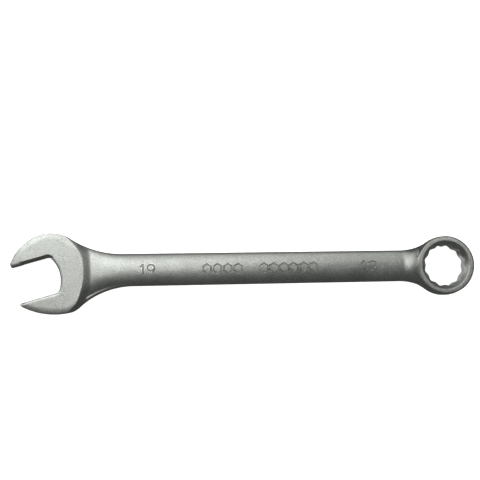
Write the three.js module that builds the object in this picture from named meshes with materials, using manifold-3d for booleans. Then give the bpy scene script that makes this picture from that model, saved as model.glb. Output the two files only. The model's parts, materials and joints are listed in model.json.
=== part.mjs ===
// Combination wrench, 19 mm: an open end turned 15 degrees in the plane of the tool, and a
// twelve-point box end tilted 10 degrees out of it. Millimetres, +Z up.
//
// The tool is one drop forging. It is drawn in a straight frame first: the shank along X with its
// middle plane at Z = 0, the open end at -X. The box end is then bent down, the tool is laid down on
// a flat surface as it rests by itself, and the solid is divided into the open end, the shank and
// the box end, which meet face to face.

import * as THREE from "three";
import { mergeVertices } from "three/addons/utils/BufferGeometryUtils.js";
import Module from "manifold-3d";

// ---- Driving dimensions ---------------------------------------------------------------------

const SIZE = 19; // nominal width across the flats of the nut
const JAW_OFFSET = THREE.MathUtils.degToRad(15); // turn of the slot in the plane of the tool
const BOX_TILT = THREE.MathUtils.degToRad(10); // tilt of the box end out of that plane

// Open end
const JAW_GAP = SIZE + 0.25;
const HEAD_THICKNESS = 8.5;
const SLOT_CROSSING = -89.1; // X where the slot's centre line crosses the shank's
const THROAT_RADIUS = 15.9;
const THROAT_CENTRE = 20; // along the slot, from the crossing
const THROAT_CORNER = 2;
const UPPER_TIP = { x: -116.16, y: 3.57, r: 2.6 };
const LOWER_TIP = { x: -112.3, y: -17.1, r: 1.2 };
const HEAD_EDGE = 0.5; // broken edge round the head
const SLOT_REACH = 30; // past the throat's centre, well out of the mouth

// Outline of the open end, as arcs that run into one another
const UPPER_JAW = { x: -95.6, y: -4.8, r: 24.8 };
const UPPER_SHOULDER = { x: -97.7, y: 2.3, r: 17.3 };
const UPPER_FLARE = { x: -60.8, y: 57, r: 48.8 };
const LOWER_JAW = { x: -96, y: 15.2, r: 37.4 };
const LOWER_SHOULDER = { x: -91.2, y: -9.75, r: 12 };
const LOWER_FLARE = { x: -55.8, y: -49.6, r: 41.3 };

// Edge of the flat face of the open end, towards the shank
const FACE_UPPER = { x: -104.6, y: -2.3, r: 24 };
const FACE_LOWER = { x: -116.6, y: -0.1, r: 35.4 };

// Shank, with a neck at each end that thickens towards the head
const SHANK_HALF_WIDTH = 7.85;
const SHANK_WIDENING = 0.4; // more half width at the open end
const SHANK_PARALLEL_FROM = 30; // X from which the width is constant
const SHANK_HALF_THICKNESS = 3.5;
const SIDE_BAND = 1.2; // half height of the flat band along each side
const HEAD_NECK = { from: -80, to: -52, halfThickness: 3.6, band: 2.25 };
const BOX_NECK = { from: 74, to: 91, halfThickness: 4.5, band: 2.4 };
const NECK_IN_HEAD = -94; // X at which the neck is buried in the open end
const NECK_IN_RING = 8; // how far before the ring's centre the neck ends, inside the ring

// Box end
const RING_RADIUS = 14.85;
const RING_THICKNESS = 10.5;
const RING_CENTRE = 103.6; // along the shank before bending
const RING_EDGE = 1; // rounding of the outer edges
const BOX_GAP = SIZE + 0.1;
const MOUTH_RADIUS = 12.5; // rim of the chamfer that leads a nut into the box
const MOUTH_DEPTH = 1.5;
const BOX_FLARE_RADIUS = 26;
const BEND_START = 78;
const BEND_END = 90;

// Where the forging is divided
const OPEN_END_CUT = -60;
const BOX_END_CUT = 76;

// Fineness
const ARC_STEP = THREE.MathUtils.degToRad(6);
const EDGE_STEP = THREE.MathUtils.degToRad(30);
const SECTION_POINTS = 12;
const LATHE_STEPS = 48;
const NECK_STEP = 1.5; // length of one step along the necks
const SHANK_STEP = 12;
const MERGE = 1e-4; // vertices closer than this are one
const SETTLING_PASSES = 4;
const BEYOND = 200; // past either end of the tool

const wasm = await Module();
wasm.setup();

// ---- Solids ---------------------------------------------------------------------------------

function toSolid(geometry) {
  const plain = geometry.index ? geometry.toNonIndexed() : geometry.clone();
  plain.deleteAttribute("normal");
  plain.deleteAttribute("uv");
  const merged = mergeVertices(plain, MERGE);
  return new wasm.Manifold(
    new wasm.Mesh({
      numProp: 3,
      vertProperties: new Float32Array(merged.attributes.position.array),
      triVerts: new Uint32Array(merged.index.array),
    }),
  );
}

function toGeometry(solid) {
  const mesh = solid.getMesh();
  const geometry = new THREE.BufferGeometry();
  geometry.setAttribute("position", new THREE.BufferAttribute(new Float32Array(mesh.vertProperties), 3));
  geometry.setIndex(new THREE.BufferAttribute(new Uint32Array(mesh.triVerts), 1));
  const faceted = geometry.toNonIndexed();
  faceted.computeVertexNormals();
  return faceted;
}

function prism(shape, height) {
  const geometry = new THREE.ExtrudeGeometry(shape, { depth: height, bevelEnabled: false });
  return geometry.translate(0, 0, -height / 2);
}

function turned(profile) {
  const geometry = new THREE.LatheGeometry(profile, LATHE_STEPS);
  return geometry.rotateX(Math.PI / 2);
}

// ---- Outlines -------------------------------------------------------------------------------

const angleOn = (arc, x, y) => Math.atan2(y - arc.y, x - arc.x);

function arcPoints(arc, from, to, step = ARC_STEP) {
  const steps = Math.max(2, Math.ceil(Math.abs(to - from) / step));
  return Array.from({ length: steps + 1 }, (_, i) => {
    const angle = from + ((to - from) * i) / steps;
    return new THREE.Vector2(arc.x + arc.r * Math.cos(angle), arc.y + arc.r * Math.sin(angle));
  });
}

function crossing(a, b, side) {
  const dx = b.x - a.x;
  const dy = b.y - a.y;
  const gap = Math.hypot(dx, dy);
  const along = (a.r ** 2 - b.r ** 2 + gap ** 2) / (2 * gap);
  const across = Math.sqrt(Math.max(0, a.r ** 2 - along ** 2)) * side;
  return {
    x: a.x + (along * dx - across * dy) / gap,
    y: a.y + (along * dy + across * dx) / gap,
  };
}

const above = (arc, x) => arc.y + Math.sqrt(Math.max(0, arc.r ** 2 - (x - arc.x) ** 2));
const below = (arc, x) => arc.y - Math.sqrt(Math.max(0, arc.r ** 2 - (x - arc.x) ** 2));

// The flat-faced head: jaws and web, still without the slot.
function headOutline() {
  const upperMeet = crossing(FACE_UPPER, UPPER_SHOULDER, 1);
  const lowerMeet = crossing(FACE_LOWER, LOWER_JAW, -1);
  const faceMeet = angleOn(FACE_LOWER, FACE_UPPER.x, FACE_UPPER.y);
  const shoulderMeet = angleOn(UPPER_JAW, UPPER_SHOULDER.x, UPPER_SHOULDER.y);
  const upperTip = angleOn(UPPER_JAW, UPPER_TIP.x, UPPER_TIP.y);
  const lowerTip = angleOn(LOWER_JAW, LOWER_TIP.x, LOWER_TIP.y);
  const points = [
    ...arcPoints(FACE_LOWER, angleOn(FACE_LOWER, lowerMeet.x, lowerMeet.y), faceMeet),
    ...arcPoints(FACE_UPPER, faceMeet, angleOn(FACE_UPPER, upperMeet.x, upperMeet.y)).slice(1),
    ...arcPoints(UPPER_SHOULDER, angleOn(UPPER_SHOULDER, upperMeet.x, upperMeet.y), shoulderMeet).slice(1),
    ...arcPoints(UPPER_JAW, shoulderMeet, upperTip).slice(1),
    ...arcPoints(UPPER_TIP, upperTip, (3 * Math.PI) / 2).slice(1),
    ...arcPoints(LOWER_TIP, Math.PI / 2 - 2 * Math.PI, lowerTip),
    ...arcPoints(LOWER_JAW, lowerTip, angleOn(LOWER_JAW, lowerMeet.x, lowerMeet.y)).slice(1, -1),
  ];
  return new THREE.Shape(points);
}

// The slot between the jaws, along its own axis with the mouth at +X.
function slotOutline() {
  const half = JAW_GAP / 2;
  const reach = THROAT_RADIUS - THROAT_CORNER;
  const cornerY = half - THROAT_CORNER;
  const cornerX = THROAT_CENTRE - Math.sqrt(reach ** 2 - cornerY ** 2);
  const corner = Math.atan2(cornerY, THROAT_CENTRE - cornerX);
  const mouth = THROAT_CENTRE + SLOT_REACH;
  const throat = { x: THROAT_CENTRE, y: 0, r: THROAT_RADIUS };
  const lowerCorner = { x: cornerX, y: -cornerY, r: THROAT_CORNER };
  const upperCorner = { x: cornerX, y: cornerY, r: THROAT_CORNER };
  return new THREE.Shape([
    new THREE.Vector2(mouth, -half),
    new THREE.Vector2(mouth, half),
    ...arcPoints(upperCorner, Math.PI / 2, Math.PI - corner),
    ...arcPoints(throat, Math.PI - corner, Math.PI + corner).slice(1, -1),
    ...arcPoints(lowerCorner, Math.PI + corner, (3 * Math.PI) / 2),
  ]);
}

// Two hexagons turned 30 degrees to each other, with re-entrant corners on the X axis.
function twelvePointOutline() {
  const inner = BOX_GAP / 2 / Math.cos(Math.PI / 12);
  const outer = BOX_GAP / 2 / Math.cos(Math.PI / 6);
  return new THREE.Shape(
    Array.from({ length: 24 }, (_, i) => {
      const radius = i % 2 === 0 ? inner : outer;
      const angle = (i * Math.PI) / 12;
      return new THREE.Vector2(radius * Math.cos(angle), radius * Math.sin(angle));
    }),
  );
}

// ---- Shank and necks ------------------------------------------------------------------------

function shankHalfWidth(x) {
  const taper = Math.max(0, (SHANK_PARALLEL_FROM - x) / (SHANK_PARALLEL_FROM - UPPER_FLARE.x));
  return SHANK_HALF_WIDTH + SHANK_WIDENING * taper ** 2;
}

function boxFlare(x) {
  const tall = SHANK_HALF_WIDTH + BOX_FLARE_RADIUS;
  const start = RING_CENTRE - Math.sqrt((RING_RADIUS + BOX_FLARE_RADIUS) ** 2 - tall ** 2);
  const meet = RING_CENTRE - (RING_RADIUS * (RING_CENTRE - start)) / (RING_RADIUS + BOX_FLARE_RADIUS);
  const on = Math.min(x, meet);
  return on < start ? 0 : below({ x: start, y: tall, r: BOX_FLARE_RADIUS }, on) - SHANK_HALF_WIDTH;
}

function upperEdge(x) {
  const shoulderEnd = (UPPER_SHOULDER.x * UPPER_FLARE.r + UPPER_FLARE.x * UPPER_SHOULDER.r)
    / (UPPER_FLARE.r + UPPER_SHOULDER.r);
  if (x < shoulderEnd) return above(UPPER_SHOULDER, x);
  if (x < UPPER_FLARE.x) return below(UPPER_FLARE, x);
  return shankHalfWidth(x) + boxFlare(x);
}

function lowerEdge(x) {
  const shoulderStart = LOWER_SHOULDER.x
    + ((LOWER_SHOULDER.x - LOWER_JAW.x) * LOWER_SHOULDER.r) / (LOWER_JAW.r - LOWER_SHOULDER.r);
  const shoulderEnd = (LOWER_SHOULDER.x * LOWER_FLARE.r + LOWER_FLARE.x * LOWER_SHOULDER.r)
    / (LOWER_FLARE.r + LOWER_SHOULDER.r);
  if (x < shoulderStart) return below(LOWER_JAW, x);
  if (x < shoulderEnd) return below(LOWER_SHOULDER, x);
  if (x < LOWER_FLARE.x) return above(LOWER_FLARE, x);
  return -shankHalfWidth(x) - boxFlare(x);
}

const atHead = (x) => 1 - THREE.MathUtils.smoothstep(x, HEAD_NECK.from, HEAD_NECK.to);
const atBox = (x) => THREE.MathUtils.smoothstep(x, BOX_NECK.from, BOX_NECK.to);

function halfThickness(x) {
  return SHANK_HALF_THICKNESS
    + (HEAD_NECK.halfThickness - SHANK_HALF_THICKNESS) * atHead(x)
    + (BOX_NECK.halfThickness - SHANK_HALF_THICKNESS) * atBox(x);
}

function bandHalfHeight(x) {
  return SIDE_BAND + (HEAD_NECK.band - SIDE_BAND) * atHead(x) + (BOX_NECK.band - SIDE_BAND) * atBox(x);
}

// One cross-section: a crowned top and bottom between two flat side bands, seen from +X.
function section(x) {
  const upper = upperEdge(x);
  const lower = lowerEdge(x);
  const band = bandHalfHeight(x);
  const crown = halfThickness(x) - band;
  const top = Array.from({ length: SECTION_POINTS + 1 }, (_, i) => {
    const across = -Math.cos((i * Math.PI) / SECTION_POINTS);
    const y = (upper + lower) / 2 + (across * (upper - lower)) / 2;
    return [y, band + crown * Math.sqrt(Math.max(0, 1 - across ** 2))];
  });
  const bottom = top.map(([y, z]) => [y, -z]).reverse();
  return [...top, ...bottom].map(([y, z]) => new THREE.Vector3(x, y, z));
}

// A closed skin through a row of sections that have the same number of points.
function loft(sections) {
  const count = sections[0].length;
  const half = count / 2;
  const index = [];
  const at = (row, i) => row * count + (i % count);
  for (let row = 0; row + 1 < sections.length; row += 1) {
    for (let i = 0; i < count; i += 1) {
      index.push(at(row, i), at(row + 1, i), at(row, i + 1));
      index.push(at(row + 1, i), at(row + 1, i + 1), at(row, i + 1));
    }
  }
  for (let i = 0; i + 1 < half; i += 1) {
    const last = sections.length - 1;
    const [a, b, c, d] = [i, i + 1, count - 2 - i, count - 1 - i];
    index.push(at(0, a), at(0, b), at(0, d), at(0, b), at(0, c), at(0, d));
    index.push(at(last, a), at(last, d), at(last, b), at(last, b), at(last, d), at(last, c));
  }
  const geometry = new THREE.BufferGeometry();
  const coordinates = sections.flat().flatMap((p) => p.toArray());
  geometry.setAttribute("position", new THREE.Float32BufferAttribute(coordinates, 3));
  geometry.setIndex(index);
  return geometry;
}

function stations(from, to, step) {
  const count = Math.ceil((to - from) / step);
  return Array.from({ length: count + 1 }, (_, i) => from + ((to - from) * i) / count);
}

// ---- Bend of the box end --------------------------------------------------------------------

const BEND_RADIUS = (BEND_END - BEND_START) / BOX_TILT;

// Place on the bent middle line for a place along the straight one, with the slope there.
function bentLine(x) {
  const angle = BOX_TILT * THREE.MathUtils.clamp((x - BEND_START) / (BEND_END - BEND_START), 0, 1);
  const straight = Math.max(0, x - BEND_END);
  return {
    angle,
    x: Math.min(x, BEND_START) + BEND_RADIUS * Math.sin(angle) + straight * Math.cos(BOX_TILT),
    z: -BEND_RADIUS * (1 - Math.cos(angle)) - straight * Math.sin(BOX_TILT),
  };
}

function bend(point) {
  const line = bentLine(point.x);
  return new THREE.Vector3(
    line.x + point.z * Math.sin(line.angle),
    point.y,
    line.z + point.z * Math.cos(line.angle),
  );
}

// ---- The forging ----------------------------------------------------------------------------

function makeHead() {
  const plate = new THREE.ExtrudeGeometry(headOutline(), {
    depth: HEAD_THICKNESS - 2 * HEAD_EDGE,
    bevelThickness: HEAD_EDGE,
    bevelSize: HEAD_EDGE,
    bevelOffset: -HEAD_EDGE,
    bevelSegments: 1,
  });
  return toSolid(plate.translate(0, 0, HEAD_EDGE - HEAD_THICKNESS / 2));
}

function makeSlot() {
  const slot = prism(slotOutline(), 4 * HEAD_THICKNESS);
  slot.rotateZ(Math.PI + JAW_OFFSET);
  return toSolid(slot.translate(SLOT_CROSSING, 0, 0));
}

function makeShank() {
  const headNeck = stations(NECK_IN_HEAD, HEAD_NECK.to, NECK_STEP);
  const middle = stations(HEAD_NECK.to, BOX_NECK.from, SHANK_STEP).slice(1);
  const boxNeck = stations(BOX_NECK.from, RING_CENTRE - NECK_IN_RING, NECK_STEP).slice(1);
  return toSolid(loft([...headNeck, ...middle, ...boxNeck].map((x) => section(x).map(bend))));
}

function onRing(geometry) {
  const centre = bentLine(RING_CENTRE);
  return toSolid(geometry.rotateY(BOX_TILT).translate(centre.x, 0, centre.z));
}

function makeRing() {
  const half = RING_THICKNESS / 2;
  const lowerEdgeRound = { x: RING_RADIUS - RING_EDGE, y: RING_EDGE - half, r: RING_EDGE };
  const upperEdgeRound = { x: RING_RADIUS - RING_EDGE, y: half - RING_EDGE, r: RING_EDGE };
  return onRing(turned([
    new THREE.Vector2(0, -half),
    ...arcPoints(lowerEdgeRound, -Math.PI / 2, 0, EDGE_STEP),
    ...arcPoints(upperEdgeRound, 0, Math.PI / 2, EDGE_STEP),
    new THREE.Vector2(0, half),
  ]));
}

function makeMouth() {
  const half = RING_THICKNESS / 2;
  const slope = (MOUTH_RADIUS - BOX_GAP / 2) / MOUTH_DEPTH;
  return turned([
    new THREE.Vector2(0, half - MOUTH_DEPTH),
    new THREE.Vector2(BOX_GAP / 2, half - MOUTH_DEPTH),
    new THREE.Vector2(MOUTH_RADIUS + slope * MOUTH_DEPTH, half + MOUTH_DEPTH),
    new THREE.Vector2(0, half + MOUTH_DEPTH),
  ]);
}

function makeBore() {
  const points = onRing(prism(twelvePointOutline(), 2 * RING_THICKNESS));
  return points.add(onRing(makeMouth())).add(onRing(makeMouth().rotateX(Math.PI)));
}

// ---- Laid down on a flat surface ------------------------------------------------------------

function vertices(solid) {
  const { vertProperties } = solid.getMesh();
  return Array.from({ length: vertProperties.length / 3 }, (_, i) => (
    new THREE.Vector3().fromArray(vertProperties, 3 * i)
  ));
}

// The jaws and the far rim of the box end both touch the surface, so the shank rises slightly.
function laidDown(solid) {
  const lowest = (points) => points.reduce((low, point) => (point.z < low.z ? point : low));
  const placement = new THREE.Matrix4();
  let angle = 0;
  for (let pass = 0; pass < SETTLING_PASSES; pass += 1) {
    placement.makeRotationY(angle);
    const points = vertices(solid).map((point) => point.applyMatrix4(placement));
    const jaw = lowest(points.filter((point) => point.x < 0));
    const rim = lowest(points.filter((point) => point.x > 0));
    angle += Math.atan2(rim.z - jaw.z, rim.x - jaw.x);
  }
  placement.makeRotationY(angle);
  const box = new THREE.Box3().setFromPoints(vertices(solid).map((point) => point.applyMatrix4(placement)));
  const middle = box.getCenter(new THREE.Vector3());
  placement.premultiply(new THREE.Matrix4().makeTranslation(-middle.x, -middle.y, -box.min.z));
  return toSolid(toGeometry(solid).applyMatrix4(placement));
}

// ---- Division into named parts --------------------------------------------------------------

function between(solid, from, to) {
  const block = new THREE.BoxGeometry(to - from, BEYOND, BEYOND).translate((from + to) / 2, 0, 0);
  return solid.intersect(toSolid(block));
}

function named(name, solid, color) {
  const steel = new THREE.MeshStandardMaterial({ color, roughness: 0.4, metalness: 1 });
  const mesh = new THREE.Mesh(toGeometry(solid), steel);
  mesh.name = name;
  return mesh;
}

const openEndAndShank = makeHead().add(makeShank()).subtract(makeSlot());
const forging = laidDown(openEndAndShank.add(makeRing()).subtract(makeBore()));

const wrench = new THREE.Group();
wrench.add(
  named("open_end", between(forging, -BEYOND, OPEN_END_CUT), 0xb4b8b2),
  named("shank", between(forging, OPEN_END_CUT, BOX_END_CUT), 0xa4a9a2),
  named("box_end", between(forging, BOX_END_CUT, BEYOND), 0x8b918a),
);

export default wrench;
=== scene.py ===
"""Combination wrench, 19 mm, in bead-blasted satin chrome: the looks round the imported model.

The wrench is one drop forging. Its surface is worked out whole, in a straight frame in
millimetres (shank along X, middle plane at Z = 0, open end at -X), as the place where a field
of distances is zero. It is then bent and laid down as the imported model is, and divided into
the model's three regions, which meet edge to edge.
"""

import json
import math

import bpy
import numpy as np
from mathutils import Matrix, Vector


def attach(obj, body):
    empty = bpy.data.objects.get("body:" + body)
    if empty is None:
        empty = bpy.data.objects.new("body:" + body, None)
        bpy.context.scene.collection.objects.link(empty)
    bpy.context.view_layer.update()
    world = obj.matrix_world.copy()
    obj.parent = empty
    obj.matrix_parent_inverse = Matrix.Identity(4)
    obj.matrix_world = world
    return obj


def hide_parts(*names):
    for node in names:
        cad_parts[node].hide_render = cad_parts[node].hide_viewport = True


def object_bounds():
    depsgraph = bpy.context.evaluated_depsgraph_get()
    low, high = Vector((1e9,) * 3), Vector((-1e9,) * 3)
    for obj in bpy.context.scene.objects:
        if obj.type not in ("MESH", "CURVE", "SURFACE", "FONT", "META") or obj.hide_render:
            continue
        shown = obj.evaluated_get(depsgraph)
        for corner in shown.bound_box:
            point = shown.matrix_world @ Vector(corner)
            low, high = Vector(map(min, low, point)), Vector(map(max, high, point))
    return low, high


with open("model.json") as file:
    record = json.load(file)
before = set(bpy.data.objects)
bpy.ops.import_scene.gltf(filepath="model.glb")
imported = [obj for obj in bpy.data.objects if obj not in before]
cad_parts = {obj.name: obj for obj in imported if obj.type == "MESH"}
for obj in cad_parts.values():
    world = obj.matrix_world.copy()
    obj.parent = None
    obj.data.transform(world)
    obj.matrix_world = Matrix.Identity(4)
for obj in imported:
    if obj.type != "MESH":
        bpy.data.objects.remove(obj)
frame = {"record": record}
cad_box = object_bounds()

MM = 0.001

# ---- Dimensions in millimetres ------------------------------------------------------------

SIZE = 19.0
JAW_OFFSET = math.radians(15)
BOX_TILT = math.radians(10)

# Open end
JAW_GAP = SIZE + 0.25
HEAD_HALF = 4.25  # half thickness
SLOT_CROSSING = -89.1  # where the slot's middle line crosses the shank's
THROAT_RADIUS = 15.9
THROAT_CENTRE = 20.0  # along the slot from that crossing
THROAT_CORNER = 1.4  # softness of the throat's corners

# Outline of the open end: centres, and the radii that the others follow from
UPPER_TIP = (-116.16, 3.57)
UPPER_JAW = (-95.6, -4.8)
UPPER_SHOULDER = (-97.7, 2.3, 17.3)
UPPER_FLARE = (-60.8, 57.0)
LOWER_TIP = (-112.3, -17.1)
LOWER_JAW = (-96.0, 15.2)
LOWER_SHOULDER = (-91.2, -9.75, 12.0)
LOWER_FLARE = (-55.8, -49.6)

# Flat face of the open end: it lies in two circles, and falls away beyond them
FACE_UPPER = (-104.6, -2.3, 24.5)
FACE_LOWER = (-116.5, -0.7, 35.6)
FACE_SLOPE = 0.34  # for each millimetre beyond,
FACE_CURVE = 0.07  # and for its square
FACE_STEEPER = 0.6  # how much farther it falls on the lower side,
FACE_STEEPER_SIDE = (8.0, 13.0)  # which is this far from the middle line

# Roundings and edges of that face, each with its width and its depth
JAW_RIM = (3.4, 0.4)
JAW_EDGE = (0.4, 0.3)
SLOT_RIM = (1.6, 0.25)
SLOT_EDGE = (0.3, 0.2)
UPPER_JAW_BEVEL = (1.25, 1.25)
BEVEL_SIDE = (7.5, 10.0)  # across the slot, where the upper jaw begins
BEVEL_END = (21.4, 22.8)  # along the slot, where the bevel runs out before the tip

# Shank
SHANK_HALF_WIDTH = 7.85
SHANK_HALF = 3.5  # half thickness
SIDE_BAND = 1.2  # half height of the flat band along each side
CROWN_REACH = 0.93  # share of an ellipse that the crowned faces use

# Necks: where they begin and end, half thickness and side band next to the head or the ring
HEAD_NECK = {"from": -80.0, "to": -54.0, "half": 3.1, "band": 1.2}
BOX_NECK = {"from": 81.5, "to": 88.0, "half": 5.25, "band": 1.0}
NECK_IN_HEAD = -93.0  # the necks dive under the open end and the ring beyond these,
NECK_IN_RING = 13.9  # the second one as a distance from the ring's centre
BURIAL_SLOPE = 1.0

# Section of the open end's neck, in shares of its half width and of its height
NECK_APEX = 0.13  # its highest line
NECK_UPPER_FALLS = ((0.55, 2.2), (0.45, 8))  # shares of the fall on the upper side, and powers
NECK_LOWER_POWER = 2.9
NECK_LEDGE = 0.83  # start of the narrow ledge along its lower side
NECK_BROW = 0.905  # and where that ledge rolls over
NECK_BROW_FALL = (0.4, 1.5)

DRAFT = 0.06  # slope of the forged flanks
FLASH_HALF = 0.9  # half height of the ground band where the dies met

# Box end
RING_RADIUS = 15.0
RING_HALF = 5.25
RING_CENTRE = 103.4
RING_ROUND = 1.1  # rounding of its outer edge
RING_DIVE = 1.6  # slope of its face beyond that edge, down into the neck
HOLE_CENTRE = 103.1
BOX_GAP = SIZE + 0.1
POINT_RADIUS = 10.8  # out to the ends of the twelve points
MOUTH_RADIUS = 12.3
MOUTH_DEPTH = 2.5
BOX_FLARE_RADIUS = 26.0
BEND_START = 78.0
BEND_END = 90.0

# Softness of the lines where the forms run together
HEAD_FILLET = 1.5
RING_FILLET = 0.6
MOUTH_FILLET = 0.3

# Pressed marks: size numerals, and two rows of plain hexagons
MARK_WIDTH = 0.95
MARK_DEPTH = 0.5
NUMERALS = (-48.1, 64.7)  # their centres
NUMERAL_HALF_HEIGHT = 2.4
HEXAGON_ROWS = ((-17.7, 5.28, 4), (11.3, 5.04, 6))  # first centre, spacing, count
HEXAGON_HALF = 1.95  # half the width across flats

# Where the model is divided
OPEN_END_CUT = -60.0
BOX_END_CUT = 76.0

# The grid that the surface is found on
STEP = 0.32
LOWS = (-119.6, -23.2, -5.92)
HIGHS = (119.6, 20.6, 5.92)
SHARP = math.radians(28)  # edges that turn more than this stay sharp

# Looks that follow the shape
FULL_WEAR_AND_HIGHLIGHT = 0.12  # how much shorter than 1 the mean normal is on an edge with full rubbing and full painted highlight
MACHINED_REACH = 0.1  # how far from a cut wall its tool marks run out


# ---- Distances in the plane ---------------------------------------------------------------

def toward(a, b, length):
    """The point at a length from a on the line to b."""
    dx, dy = b[0] - a[0], b[1] - a[1]
    share = length / math.hypot(dx, dy)
    return a[0] + dx * share, a[1] + dy * share


def gap(a, b):
    return math.hypot(b[0] - a[0], b[1] - a[1])


def to_circle(x, y, circle):
    return np.hypot(x - circle[0], y - circle[1]) - circle[2]


def arc(circle, start, end, steel_inside=True, long_way=False):
    """A stretch of a circle between two joints, as a function that gives the distance from it
    and that distance with a sign, positive out of the steel."""
    cx, cy, radius = circle
    mid = ((start[0] + end[0]) / 2 - cx, (start[1] + end[1]) / 2 - cy)
    length = math.hypot(*mid)
    turn = -1.0 if long_way else 1.0
    mx, my = turn * mid[0] / length, turn * mid[1] / length
    reach = turn * length / radius
    side = 1.0 if steel_inside else -1.0

    def distance(x, y):
        dx, dy = x - cx, y - cy
        rho = np.hypot(dx, dy) + 1e-9
        ends = np.minimum(np.hypot(x - start[0], y - start[1]), np.hypot(x - end[0], y - end[1]))
        away = np.where((dx * mx + dy * my) / rho >= reach, np.abs(rho - radius), ends)
        return away, np.where(side * (rho - radius) >= 0, away, -away)

    return distance


def line(start, end):
    """A straight stretch with the steel on its right, as arc() gives a round one."""
    tx, ty = end[0] - start[0], end[1] - start[1]
    length = math.hypot(tx, ty)
    tx, ty = tx / length, ty / length

    def distance(x, y):
        dx, dy = x - start[0], y - start[1]
        along = np.clip(dx * tx + dy * ty, 0, length)
        away = np.hypot(dx - along * tx, dy - along * ty)
        return away, np.where(tx * dy - ty * dx >= 0, away, -away)

    return distance


def with_radius(centre, radius):
    return centre[0], centre[1], radius


def head_side(tip, jaw, shoulder, flare):
    """The jaw, shoulder and flare of one side of the open end, as circles that touch."""
    jaw_radius = gap(jaw, shoulder) + shoulder[2]
    return (
        with_radius(tip, jaw_radius - gap(jaw, tip)),
        with_radius(jaw, jaw_radius),
        shoulder,
        with_radius(flare, gap(flare, shoulder) - shoulder[2]),
    )


def side_joints(tip, jaw, shoulder, flare, up):
    """The joints between those circles, from the tip to the shank."""
    return (
        (tip[0], tip[1] - up * tip[2]),
        toward(jaw, tip, jaw[2]),
        toward(jaw, shoulder, jaw[2]),
        toward(shoulder, flare, shoulder[2]),
        (flare[0], flare[1] - up * flare[2]),
    )


UPPER = head_side(UPPER_TIP, UPPER_JAW, UPPER_SHOULDER, UPPER_FLARE)
LOWER = head_side(LOWER_TIP, LOWER_JAW, LOWER_SHOULDER, LOWER_FLARE)
UPPER_JOINTS = side_joints(*UPPER, 1)
LOWER_JOINTS = side_joints(*LOWER, -1)
RING = (RING_CENTRE, 0.0, RING_RADIUS)
FLARE_RISE = SHANK_HALF_WIDTH + BOX_FLARE_RADIUS
FLARE_START = RING_CENTRE - math.sqrt((RING_RADIUS + BOX_FLARE_RADIUS) ** 2 - FLARE_RISE ** 2)
BOX_FLARE = (FLARE_START, FLARE_RISE, BOX_FLARE_RADIUS)
RING_JOINT = toward(RING, BOX_FLARE, RING_RADIUS)


def below_axis(p):
    return (p[0], -p[1], *p[2:])


OUTLINE = (
    line(LOWER_JOINTS[0], UPPER_JOINTS[0]),
    arc(UPPER[0], UPPER_JOINTS[0], UPPER_JOINTS[1]),
    arc(UPPER[1], UPPER_JOINTS[1], UPPER_JOINTS[2]),
    arc(UPPER[2], UPPER_JOINTS[2], UPPER_JOINTS[3]),
    arc(UPPER[3], UPPER_JOINTS[3], UPPER_JOINTS[4], steel_inside=False),
    line(UPPER_JOINTS[4], (FLARE_START, SHANK_HALF_WIDTH)),
    arc(BOX_FLARE, (FLARE_START, SHANK_HALF_WIDTH), RING_JOINT, steel_inside=False),
    arc(RING, RING_JOINT, below_axis(RING_JOINT), long_way=True),
    arc(below_axis(BOX_FLARE), (FLARE_START, -SHANK_HALF_WIDTH), below_axis(RING_JOINT),
        steel_inside=False),
    line((FLARE_START, -SHANK_HALF_WIDTH), LOWER_JOINTS[4]),
    arc(LOWER[3], LOWER_JOINTS[3], LOWER_JOINTS[4], steel_inside=False),
    arc(LOWER[2], LOWER_JOINTS[2], LOWER_JOINTS[3]),
    arc(LOWER[1], LOWER_JOINTS[1], LOWER_JOINTS[2]),
    arc(LOWER[0], LOWER_JOINTS[0], LOWER_JOINTS[1]),
)


def outline(x, y):
    """Distance from the outline seen from above, positive out of the steel. Where the first
    stretch, across the mouth of the slot, ties with its neighbours, its sign holds."""
    nearest = np.full(np.shape(x), np.inf)
    signed = np.zeros(np.shape(x))
    for stretch in OUTLINE:
        away, with_sign = stretch(x, y)
        closer = away < nearest - 1e-9
        nearest = np.where(closer, away, nearest)
        signed = np.where(closer, with_sign, signed)
    return signed


def smooth_max(a, b, softness):
    near = np.maximum(softness - np.abs(a - b), 0) / softness
    return np.maximum(a, b) + near * near * softness / 4


def slot_axes(x, y):
    """How far along the slot towards its mouth, and across it towards the lower jaw."""
    along = -(x - SLOT_CROSSING) * math.cos(JAW_OFFSET) - y * math.sin(JAW_OFFSET)
    across = (x - SLOT_CROSSING) * math.sin(JAW_OFFSET) - y * math.cos(JAW_OFFSET)
    return along, across


def slot(x, y):
    """Distance from the slot between the jaws, negative in it."""
    along, across = slot_axes(x, y)
    throat = np.hypot(along - THROAT_CENTRE, across) - THROAT_RADIUS
    end = np.where(along > THROAT_CENTRE, np.abs(across) - THROAT_RADIUS, throat)
    return smooth_max(np.abs(across) - JAW_GAP / 2, end, THROAT_CORNER)


def twelve_points(x, y):
    """Distance from the walls of the twelve-point hole, negative in it."""
    dx = x - HOLE_CENTRE
    hexagons = []
    for first in (15, 45):
        angles = [math.radians(first + 60 * k) for k in range(3)]
        walls = [np.abs(dx * math.cos(a) + y * math.sin(a)) for a in angles]
        hexagons.append(np.maximum(np.maximum(walls[0], walls[1]), walls[2]) - BOX_GAP / 2)
    star = np.minimum(hexagons[0], hexagons[1])
    return np.maximum(star, np.hypot(dx, y) - POINT_RADIUS)


# ---- Height of the faces above the middle plane -------------------------------------------

def ease(x, low, high):
    t = np.clip((x - low) / (high - low), 0, 1)
    return t * t * (3 - 2 * t)


def arch(x, circle, up):
    """The Y of a circle's upper (up 1) or lower (up -1) half at x."""
    return circle[1] + up * np.sqrt(np.maximum(0, circle[2] ** 2 - (x - circle[0]) ** 2))


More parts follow.
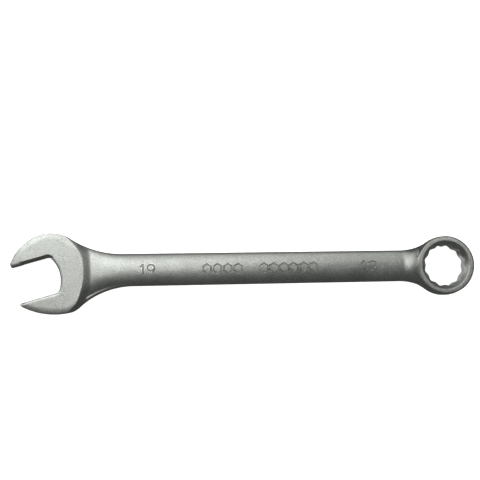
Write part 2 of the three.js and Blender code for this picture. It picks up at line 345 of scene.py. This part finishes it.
def side_edge(x, circles, joints, up):
    """The Y of one side of the outline at x, between the jaws and the ring."""
    _, jaw, shoulder, flare = circles
    start, end = joints[4], (FLARE_START, up * SHANK_HALF_WIDTH)
    box_flare = BOX_FLARE if up > 0 else below_axis(BOX_FLARE)
    straight = start[1] + (end[1] - start[1]) * (x - start[0]) / (end[0] - start[0])
    edge = np.where(x < joints[2][0], arch(x, jaw, up), arch(x, shoulder, up))
    edge = np.where(x > joints[3][0], arch(x, flare, -up), edge)
    edge = np.where(x > start[0], straight, edge)
    edge = np.where(x > FLARE_START, arch(x, box_flare, -up), edge)
    return np.where(x > RING_JOINT[0], arch(x, RING, up), edge)


def neck_profile(across):
    """Height of the open end's neck across its width: a crown that falls ever faster to both
    sides, on the lower one to a narrow ledge."""
    up = np.clip(across - NECK_APEX, 0, 1) / (1 - NECK_APEX)
    upper = 1 - sum(share * up ** power for share, power in NECK_UPPER_FALLS)
    down = np.clip((NECK_APEX - across) / (NECK_APEX + NECK_LEDGE), 0, 1)
    over = np.clip((-across - NECK_BROW) / (1 - NECK_BROW), 0, 1)
    lower = 1 - down ** NECK_LOWER_POWER - NECK_BROW_FALL[0] * over ** NECK_BROW_FALL[1]
    return np.where(across > NECK_APEX, upper, lower)


def between(start, end, share):
    return start + (end - start) * share


def shank_height(x, y):
    """Height of the shank and the necks, as if they ran on under both ends."""
    upper = side_edge(x, UPPER, UPPER_JOINTS, 1)
    lower = side_edge(x, LOWER, LOWER_JOINTS, -1)
    across = np.clip((2 * y - upper - lower) / np.maximum(upper - lower, 1), -1, 1)
    at_head = 1 - ease(x, HEAD_NECK["from"], HEAD_NECK["to"])
    at_box = ease(x, BOX_NECK["from"], BOX_NECK["to"])
    half = between(between(SHANK_HALF, HEAD_NECK["half"], at_head), BOX_NECK["half"], at_box)
    band = between(between(SIDE_BAND, HEAD_NECK["band"], at_head), BOX_NECK["band"], at_box)
    rim = math.sqrt(1 - CROWN_REACH ** 2)
    crown = (np.sqrt(1 - (CROWN_REACH * across) ** 2) - rim) / (1 - rim)
    crown = between(crown, neck_profile(across), at_head)
    buried = np.maximum(NECK_IN_HEAD - x, 0) + np.maximum(x - RING_CENTRE + NECK_IN_RING, 0)
    return band + (half - band) * crown - BURIAL_SLOPE * buried


def rounding(inside, rim):
    """How far a face has fallen at a distance inside its edge."""
    width, depth = rim
    return depth * np.clip(1 - inside / width, 0, 1) ** 2


def head_height(x, y, walls):
    """Height of the open end's face: flat, eased along its edges, and falling to the neck."""
    beside_slot = slot(x, y)
    height = HEAD_HALF - rounding(-walls, JAW_RIM) - rounding(-walls, JAW_EDGE)
    height -= rounding(beside_slot, SLOT_RIM) + rounding(beside_slot, SLOT_EDGE)
    along, across = slot_axes(x, y)
    on_upper_jaw = ease(-across, *BEVEL_SIDE) * (1 - ease(along, *BEVEL_END))
    width, depth = UPPER_JAW_BEVEL
    height -= on_upper_jaw * depth * np.clip(1 - beside_slot / width, 0, 1)
    beyond = np.maximum(to_circle(x, y, FACE_UPPER), to_circle(x, y, FACE_LOWER))
    beyond = np.maximum(beyond, 0) * (1 + FACE_STEEPER * ease(-y, *FACE_STEEPER_SIDE))
    return height - FACE_SLOPE * beyond - FACE_CURVE * beyond ** 2


def ring_height(x, y):
    """Height of the ring's face, with its outer edge rounded."""
    inside = RING_RADIUS - np.hypot(x - RING_CENTRE, y)
    over = np.clip(1 - inside / RING_ROUND, 0, 1)
    rounded = RING_ROUND * (1 - np.sqrt(1 - over ** 2))
    return RING_HALF - rounded - RING_DIVE * np.maximum(-inside, 0)


def mouth_height(x, y):
    """Height of the cone that leads a nut into the hole."""
    slope = MOUTH_DEPTH / (MOUTH_RADIUS - BOX_GAP / 2)
    return RING_HALF - slope * (MOUTH_RADIUS - np.hypot(x - RING_CENTRE, y))


def numeral_strokes(x, y):
    """Distance from the strokes of a 19 round the origin: a one with a flag, and a nine with an
    oval bowl and a tail that bends round to its foot."""
    top = NUMERAL_HALF_HEIGHT
    stem_x = -2.35
    stem = line((stem_x, -top), (stem_x, top))
    flag = line((stem_x - 1.15, top - 1.0), (stem_x, top))
    wide, tall = 1.85, 1.5
    bowl_x, bowl_y = 1.75, top - tall
    dx, dy = x - bowl_x, y - bowl_y
    bowl = np.abs(np.hypot(dx / wide, dy / tall) - 1) * (wide + tall) / 2
    tail_end = (bowl_x + 0.25, bowl_y - 2.92)
    tail = arc((bowl_x - 1.6, bowl_y, wide + 1.6), (bowl_x + wide, bowl_y), tail_end)
    foot = line(tail_end, (bowl_x - 0.9, -top))
    strokes = np.minimum(np.minimum(stem(x, y)[0], flag(x, y)[0]), np.minimum(bowl, tail(x, y)[0]))
    return np.minimum(strokes, foot(x, y)[0])


def hexagon_strokes(x, y, first, spacing, count):
    """Distance from the outlines of a row of hexagons."""
    number = np.clip(np.round((x - first) / spacing), 0, count - 1)
    dx = x - first - number * spacing
    across = [np.abs(dx * math.cos(a) + y * math.sin(a)) for a in (0.0, math.pi / 3, 2 * math.pi / 3)]
    return np.abs(np.maximum(np.maximum(across[0], across[1]), across[2]) - HEXAGON_HALF)


def marks(x, y, with_hexagons):
    """Depth of the pressed marks."""
    strokes = np.minimum(numeral_strokes(x - NUMERALS[0], y), numeral_strokes(x - NUMERALS[1], y))
    if with_hexagons:
        for row in HEXAGON_ROWS:
            strokes = np.minimum(strokes, hexagon_strokes(x, y, *row))
    return MARK_DEPTH * np.clip(1 - (2 * strokes / MARK_WIDTH) ** 2, 0, 1)


def heights(x, y, walls):
    """Height of the upper face, and depth of the lower one, at points of the plane. The rows of
    hexagons are on the upper face alone."""
    forged = smooth_max(head_height(x, y, walls), shank_height(x, y), HEAD_FILLET)
    forged = smooth_max(forged, ring_height(x, y), RING_FILLET)
    forged = -smooth_max(-forged, -mouth_height(x, y), MOUTH_FILLET)
    return forged - marks(x, y, True), forged - marks(x, -y, False)


# ---- The surface --------------------------------------------------------------------------

def plane_fields(x, y):
    """What the field needs to know of points of the plane: outer walls, cut walls, heights."""
    walls = outline(x, y)
    cuts = np.maximum(-slot(x, y), -twelve_points(x, y))
    return (walls, cuts, *heights(x, y, walls))


def field(plane, z):
    """Negative in the steel."""
    walls, cuts, top, bottom = plane
    drafted = walls + DRAFT * np.maximum(np.abs(z) - FLASH_HALF, 0)
    return np.maximum(np.maximum(z - top, -z - bottom), np.maximum(drafted, cuts))


def field_at(points):
    return field(plane_fields(points[:, 0], points[:, 1]), points[:, 2])


def slope_at(points):
    """Unit direction in which the field grows."""
    reach = 0.01
    slope = np.empty_like(points)
    for axis in range(3):
        shift = np.zeros(3)
        shift[axis] = reach
        slope[:, axis] = field_at(points + shift) - field_at(points - shift)
    return slope / (np.linalg.norm(slope, axis=1, keepdims=True) + 1e-12)


def crossings(values, origin, axis):
    """Where the grid's edges along an axis pass through the surface: the nodes that they start
    from, the points, and whether the steel is at the start."""
    start = [slice(None)] * 3
    end = [slice(None)] * 3
    start[axis], end[axis] = slice(0, -1), slice(1, None)
    nodes = np.argwhere((values[tuple(start)] < 0) != (values[tuple(end)] < 0))
    along = np.zeros(3, int)
    along[axis] = 1
    low = values[tuple(nodes.T)]
    high = values[tuple((nodes + along).T)]
    from_start = low < 0
    base = origin + nodes * STEP
    a, b = np.zeros(len(nodes)), np.ones(len(nodes))
    share = low / (low - high)
    for _ in range(3):
        now = field_at(base + share[:, None] * along * STEP)
        same = (now < 0) == from_start
        a, low = np.where(same, share, a), np.where(same, now, low)
        b, high = np.where(same, b, share), np.where(same, high, now)
        share = np.clip(a + (b - a) * low / (low - high + 1e-12), 0, 1)
    return nodes, base + share[:, None] * along * STEP, from_start


def surface():
    """One vertex in each cell of the grid that the surface passes through, where the planes of
    the crossings meet, and one face round each crossed edge. Also gives the cells' columns."""
    origin = np.array(LOWS)
    sides = [np.arange(low, high, STEP) for low, high in zip(LOWS, HIGHS)]
    x, y = np.meshgrid(sides[0], sides[1], indexing="ij")
    plane = [f[:, :, None] for f in plane_fields(x, y)]
    values = field(plane, sides[2][None, None, :])
    counts = np.array(values.shape)
    weights = np.array([counts[1] * counts[2], counts[2], 1])
    cells, quads, columns = [], [], []
    points, slopes = [], []
    for axis in range(3):
        nodes, point, from_start = crossings(values, origin, axis)
        slope = slope_at(point)
        u, v = np.zeros(3, int), np.zeros(3, int)
        u[(axis + 1) % 3], v[(axis + 2) % 3] = 1, 1
        round_edge = np.stack([(nodes - u - v) @ weights, (nodes - v) @ weights,
                               nodes @ weights, (nodes - u) @ weights], axis=1)
        quads.append(np.where(from_start[:, None], round_edge, round_edge[:, ::-1]))
        columns.append(nodes[:, 0] + (1 if axis == 0 else 0))
        cells.append(round_edge.ravel())
        points.append(np.repeat(point, 4, axis=0))
        slopes.append(np.repeat(slope, 4, axis=0))
    used, index = np.unique(np.concatenate(cells), return_inverse=True)
    point, slope = np.concatenate(points), np.concatenate(slopes)
    vertices = meeting_points(index, len(used), point, slope)
    corner = origin + np.stack(np.unravel_index(used, values.shape), axis=1) * STEP
    margin = 0.15 * STEP
    vertices = np.clip(vertices, corner - margin, corner + STEP + margin)
    faces = np.searchsorted(used, np.concatenate(quads))
    return vertices, faces, np.concatenate(columns), np.unravel_index(used, values.shape)[0]


def meeting_points(index, count, point, slope):
    """For each cell, the point closest to all the planes through its crossings."""
    pull = 0.02
    total = lambda w: np.bincount(index, weights=w, minlength=count)
    number = total(np.ones(len(index)))
    middle = np.stack([total(point[:, k]) / number for k in range(3)], axis=1)
    offset = np.einsum("ij,ij->i", slope, point - middle[index])
    matrix = np.empty((count, 3, 3))
    right = np.empty((count, 3))
    for i in range(3):
        right[:, i] = total(slope[:, i] * offset)
        for j in range(3):
            matrix[:, i, j] = total(slope[:, i] * slope[:, j])
    matrix += pull * np.eye(3) * number[:, None, None] / 4
    return middle + np.linalg.solve(matrix, right[:, :, None])[:, :, 0]


# ---- Bent and laid down -------------------------------------------------------------------

def bent(points):
    """The box end turned down out of the plane, as a bend of the shank's middle line."""
    x, z = points[:, 0], points[:, 2]
    radius = (BEND_END - BEND_START) / BOX_TILT
    angle = BOX_TILT * np.clip((x - BEND_START) / (BEND_END - BEND_START), 0, 1)
    straight = np.maximum(0, x - BEND_END)
    line_x = np.minimum(x, BEND_START) + radius * np.sin(angle) + straight * math.cos(BOX_TILT)
    line_z = -radius * (1 - np.cos(angle)) - straight * math.sin(BOX_TILT)
    return np.stack([line_x + z * np.sin(angle), points[:, 1], line_z + z * np.cos(angle)], axis=1)


def laid_down(points):
    """In metres in the frame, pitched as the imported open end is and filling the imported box."""
    mounts = {m["name"]: m for m in frame["record"]["mounts"]}
    axis = mounts["open_end_top_face"]["axis"]
    pitch = math.atan2(axis[0], axis[2])
    x, z = points[:, 0], points[:, 2]
    turned = np.stack([x * math.cos(pitch) + z * math.sin(pitch), points[:, 1],
                       z * math.cos(pitch) - x * math.sin(pitch)], axis=1) * MM
    low, high = turned.min(axis=0), turned.max(axis=0)
    place = (np.array(cad_box[0]) + np.array(cad_box[1]) - low - high) / 2
    place[2] = cad_box[0][2] - low[2]
    return turned + place


# ---- Pieces -------------------------------------------------------------------------------

def edge_wear_and_highlight(vertices, faces):
    """How much each vertex stands on an outer edge, from 0 to 1: the measure of rubbing and of the
    painted edge highlight.
    """
    a, b, c, d = (vertices[faces[:, k]] for k in range(4))
    normal = np.cross(c - a, d - b)
    normal /= np.linalg.norm(normal, axis=1, keepdims=True) + 1e-15
    middle = (a + b + c + d) / 4
    count = np.bincount(faces.ravel(), minlength=len(vertices))
    spread = lambda v: np.stack([
        np.bincount(faces.ravel(), weights=np.repeat(v[:, k], 4), minlength=len(vertices)) / count
        for k in range(3)], axis=1)
    mean = spread(normal)
    length = np.linalg.norm(mean, axis=1)
    out = np.einsum("ij,ij->i", vertices - spread(middle), mean) > 0
    wear_and_highlight = np.where(out, np.clip((1 - length) / FULL_WEAR_AND_HIGHLIGHT, 0, 1), 0)
    for _ in range(2):
        on_face = wear_and_highlight[faces].mean(axis=1)
        wear_and_highlight = 0.5 * wear_and_highlight + 0.5 * np.bincount(
            faces.ravel(), weights=np.repeat(on_face, 4), minlength=len(vertices)) / count
    return wear_and_highlight


def add_mesh(name, vertices, faces):
    mesh = bpy.data.meshes.new(name)
    mesh.from_pydata(vertices.tolist(), [], faces)
    mesh.polygons.foreach_set("use_smooth", np.ones(len(mesh.polygons), bool))
    mesh.update()
    return mesh


def corner_normals(vertices, faces):
    """Smooth normals of the whole forging at each face's corners, split at its sharp edges."""
    mesh = add_mesh("whole", vertices, faces.tolist())
    mesh.set_sharp_from_angle(angle=SHARP)
    normals = np.empty(len(mesh.loops) * 3, np.float32)
    mesh.corner_normals.foreach_get("vector", normals)
    bpy.data.meshes.remove(mesh)
    return normals.reshape(-1, 4, 3)


def rim_loop(faces):
    """The vertices along an open edge of some faces, in order, once for each closed loop."""
    starts, ends = faces.ravel(), np.roll(faces, -1, axis=1).ravel()
    key = starts.astype(np.int64) * (faces.max() + 1) + ends
    back = ends.astype(np.int64) * (faces.max() + 1) + starts
    open_edges = ~np.isin(key, back)
    following = dict(zip(ends[open_edges].tolist(), starts[open_edges].tolist()))
    loops = []
    while following:
        first, after = next(iter(following.items()))
        loop = [first]
        while after != first:
            loop.append(after)
            after = following.pop(after)
        following.pop(first, None)
        loops.append(loop)
    return loops


def region(name, vertices, faces, normals, attributes):
    """A closed piece from some of the faces, capped where the forging is divided."""
    used, index = np.unique(faces, return_inverse=True)
    index = index.reshape(faces.shape)
    caps = rim_loop(index)
    mesh = add_mesh(name, vertices[used], index.tolist() + caps)
    mesh.polygons.foreach_set("use_smooth", [True] * len(index) + [False] * len(caps))
    for key, values in attributes.items():
        attribute_data = mesh.attributes.new(key, "FLOAT", "POINT").data
        attribute_data.foreach_set("value", values[used].astype(np.float32))
    flat = [mesh.polygons[len(index) + k].normal[:] for k, cap in enumerate(caps) for _ in cap]
    mesh.normals_split_custom_set(normals.reshape(-1, 3).tolist() + [list(n) for n in flat])
    piece = bpy.data.objects.new(name, mesh)
    bpy.context.scene.collection.objects.link(piece)
    return piece


def build_forging():
    """The three regions of the forging, each closed, in the frame."""
    vertices, faces, columns, vertex_columns = surface()
    cuts = [int((x - LOWS[0]) / STEP) for x in (OPEN_END_CUT, BOX_END_CUT)]
    for column in cuts:
        vertices[vertex_columns == column, 0] = LOWS[0] + (column + 0.5) * STEP
    x, y = vertices[:, 0], vertices[:, 1]
    cut_walls = np.minimum(np.abs(slot(x, y)), np.abs(twelve_points(x, y)))
    attributes = {
        # outer edges lightened in colour: partly rubbing of the plate, partly a painted highlight
        "wear_and_highlight": edge_wear_and_highlight(vertices, faces),
        "machined": np.clip(1.5 - cut_walls / MACHINED_REACH, 0, 1),
    }
    placed = laid_down(bent(vertices))
    normals = corner_normals(placed, faces)
    section = np.digitize(columns, [cuts[0] + 1, cuts[1] + 1])
    names = ("open_end_forging", "shank_forging", "box_end_forging")
    return [region(name, placed, faces[section == k], normals[section == k], attributes)
            for k, name in enumerate(names)]


# ---- Material -----------------------------------------------------------------------------

def node(tree, kind, inputs=(), **settings):
    made = tree.nodes.new(kind)
    for key, value in settings.items():
        setattr(made, key, value)
    for key, value in dict(inputs).items():
        if isinstance(value, bpy.types.NodeSocket):
            tree.links.new(value, made.inputs[key])
        else:
            made.inputs[key].default_value = value
    return made


def noise(tree, place, size, detail=2.0, roughness=0.5):
    """Noise with features of a size in metres."""
    made = node(tree, "ShaderNodeTexNoise", {"Vector": place, "Scale": 1 / size, "Detail": detail,
                                             "Roughness": roughness})
    return made.outputs["Fac"]


def ranged(tree, value, low, high, to_low, to_high):
    made = node(tree, "ShaderNodeMapRange", {"Value": value, "From Min": low, "From Max": high,
                                             "To Min": to_low, "To Max": to_high})
    return made.outputs["Result"]


def product(tree, a, b):
    return node(tree, "ShaderNodeMath", {0: a, 1: b}, operation="MULTIPLY").outputs["Value"]


def summed(tree, a, b):
    return node(tree, "ShaderNodeMath", {0: a, 1: b}, operation="ADD").outputs["Value"]


def mixed(tree, share, a, b):
    made = node(tree, "ShaderNodeMix", {0: share, 6: a, 7: b}, data_type="RGBA")
    return made.outputs[2]


def attribute(tree, name):
    return node(tree, "ShaderNodeAttribute", attribute_name=name).outputs["Fac"]


def satin_chrome():
    """Chrome plate over bead-blasted steel: a fine grain, cloudy gloss, and rubbed outer edges that are
    glossier and lighter in colour, the lightening partly a painted edge highlight.
    """
    material = bpy.data.materials.new("satin_chrome")
    material.use_nodes = True
    tree = material.node_tree
    tree.nodes.clear()
    place = node(tree, "ShaderNodeTexCoord").outputs["Object"]
    wear_and_highlight = attribute(tree, "wear_and_highlight")
    machined = attribute(tree, "machined")

    grain = noise(tree, place, 0.00045, 3.0, 0.6)
    clouds = noise(tree, place, 0.011, 4.0, 0.55)
    patches = noise(tree, place, 0.0022, 3.0, 0.6)
    pitted_tone, worn_and_highlight_tone = (0.40, 0.42, 0.39, 1), (0.80, 0.81, 0.78, 1)
    dull, bright = (0.58, 0.60, 0.57, 1), (0.70, 0.72, 0.685, 1)
    tone = mixed(tree, ranged(tree, clouds, 0.3, 0.7, 0.2, 0.9), dull, bright)
    speckled = mixed(tree, ranged(tree, grain, 0.38, 0.62, 0.0, 1.0), tone, pitted_tone)
    # Outer edges lightened towards a pale tone: partly rubbed plate, partly a painted edge highlight.
    colour = mixed(tree, ranged(tree, wear_and_highlight, 0.1, 0.8, 0.0, 0.7), speckled, worn_and_highlight_tone)

    cloudy = ranged(tree, clouds, 0.3, 0.7, 0.36, 0.44)
    patchy = ranged(tree, patches, 0.3, 0.7, -0.03, 0.04)
    gloss = summed(tree, summed(tree, cloudy, patchy), ranged(tree, wear_and_highlight, 0.1, 0.8, 0.0, -0.12))

    upright = node(tree, "ShaderNodeMapping", {"Vector": place, "Scale": (1, 1, 0.08)})
    tool_marks = product(tree, noise(tree, upright.outputs["Vector"], 0.0003, 1.0), machined)
    blasted = node(tree, "ShaderNodeBump", {"Height": grain, "Distance": 0.00006, "Strength": 0.55})
    pitted = node(tree, "ShaderNodeBump", {"Height": patches, "Distance": 0.00012, "Strength": 0.35,
                                           "Normal": blasted.outputs["Normal"]})
    broached = node(tree, "ShaderNodeBump", {"Height": tool_marks, "Distance": 0.00008, "Strength": 0.6,
                                             "Normal": pitted.outputs["Normal"]})
    shader = node(tree, "ShaderNodeBsdfPrincipled", {
        "Base Color": colour, "Metallic": 1.0, "Roughness": gloss, "Normal": broached.outputs["Normal"]})
    output = node(tree, "ShaderNodeOutputMaterial")
    tree.links.new(shader.outputs["BSDF"], output.inputs["Surface"])
    return material


# ---- Studio -------------------------------------------------------------------------------

def floor_profile():
    """Radius and height of the floor, which curves up far behind the object, in metres."""
    flat, curve, top = 1.2, 0.8, 1.6
    bend = [(flat + curve * math.sin(a), curve * (1 - math.cos(a)))
            for a in (math.radians(10 * k) for k in range(10))]
    return [(0.0, 0.0), (0.3, 0.0), (0.7, 0.0), *bend, (flat + curve, top)]


def add_floor():
    """A pale seamless floor, left out of the reflections in the steel."""
    turns = 48
    profile = floor_profile()[1:]
    vertices = [(0.0, 0.0, 0.0)]
    for k in range(turns):
        a = 2 * math.pi * k / turns
        vertices += [(r * math.cos(a), r * math.sin(a), z) for r, z in profile]
    rows = len(profile)
    at = lambda turn, row: 1 + (turn % turns) * rows + row
    faces = [(0, at(k, 0), at(k + 1, 0)) for k in range(turns)]
    faces += [(at(k, r), at(k, r + 1), at(k + 1, r + 1), at(k + 1, r))
              for k in range(turns) for r in range(rows - 1)]
    floor = bpy.data.objects.new("floor", add_mesh("floor", np.array(vertices), faces))
    floor.location.z = cad_box[0][2] - 0.0001
    bpy.context.scene.collection.objects.link(floor)
    material = bpy.data.materials.new("pale_floor")
    material.use_nodes = True
    shader = material.node_tree.nodes["Principled BSDF"]
    shader.inputs["Base Color"].default_value = (0.9, 0.9, 0.9, 1)
    shader.inputs["Roughness"].default_value = 1.0
    shader.inputs["Emission Color"].default_value = (1, 1, 1, 1)
    shader.inputs["Emission Strength"].default_value = 0.85
    floor.data.materials.append(material)
    floor.visible_glossy = False


# Square soft panels: name, place and width in metres, power in watts, and where they point.
# The four of the key hang close over the open end, so that the light dies away along the shank.
LIGHTS = (
    ("key_near", (-0.12, 0.05, 0.35), 0.12, 0.11, (-0.08, 0.0, 0.0)),
    ("key_far", (-0.12, 0.18, 0.33), 0.12, 0.115, (-0.08, 0.0, 0.0)),
    ("key_left", (-0.24, 0.14, 0.33), 0.12, 0.185, (-0.08, 0.0, 0.0)),
    ("key_right", (0.0, 0.16, 0.35), 0.12, 0.062, (-0.08, 0.0, 0.0)),
    ("back", (0.0, 0.46, 0.386), 0.3, 0.3, (0.0, 0.0, 0.0)),
    ("side", (0.165, 0.055, 0.17), 0.08, 0.029, (0.1, 0.0, 0.0)),
    ("bounce", (0.108, 0.0, 0.0006), 0.012, 0.00022, (0.108, 0.0, 1.0)),
)


def add_light(name, place, size, power, aim):
    data = bpy.data.lights.new(name, "AREA")
    data.shape = "SQUARE"
    data.size = size
    data.energy = power
    light = bpy.data.objects.new(name, data)
    light.location = place
    light.rotation_euler = (Vector(aim) - Vector(place)).to_track_quat("-Z", "Y").to_euler()
    bpy.context.scene.collection.objects.link(light)


def add_world(level):
    world = bpy.data.worlds.new("studio")
    bpy.context.scene.world = world
    world.use_nodes = True
    background = world.node_tree.nodes["Background"]
    background.inputs["Color"].default_value = (level, level * 1.01, level * 0.99, 1)
    background.inputs["Strength"].default_value = 1.0


def add_camera():
    """Almost straight above the wrench, from far enough that both ends look alike."""
    distance, across = 0.9, 0.2456
    elevation, azimuth, roll = math.radians(86.0), math.radians(0.1), math.radians(0.9)
    right_shift, up_shift = 0.0007, 0.01585
    centre = (cad_box[0] + cad_box[1]) / 2
    back = Vector((math.sin(azimuth) * math.cos(elevation), -math.cos(azimuth) * math.cos(elevation),
                   math.sin(elevation)))
    place = centre + back * distance
    side = Vector((math.cos(azimuth), math.sin(azimuth), 0))
    up = back.cross(side)
    aim = centre + up * up_shift - side * right_shift
    away = (place - aim).normalized()
    side = (side - away * side.dot(away)).normalized()
    up = away.cross(side)
    side, up = (side * math.cos(roll) - up * math.sin(roll), up * math.cos(roll) + side * math.sin(roll))
    data = bpy.data.cameras.new("camera")
    data.sensor_width = 36.0
    data.lens = 36.0 * distance / across
    camera = bpy.data.objects.new("camera", data)
    turn = Matrix((side, up, away)).transposed().to_4x4()
    camera.matrix_world = Matrix.Translation(place) @ turn
    bpy.context.scene.collection.objects.link(camera)
    bpy.context.scene.camera = camera


# ---- Put together -------------------------------------------------------------------------

def main():
    material = satin_chrome()
    for piece, cad_node in zip(build_forging(), ("open_end", "shank", "box_end")):
        piece.data.materials.append(material)
        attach(piece, "root")
        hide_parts(cad_node)
    add_floor()
    for light in LIGHTS:
        add_light(*light)
    add_world(0.082)
    bpy.context.scene.view_settings.view_transform = "Standard"
    add_camera()


main()
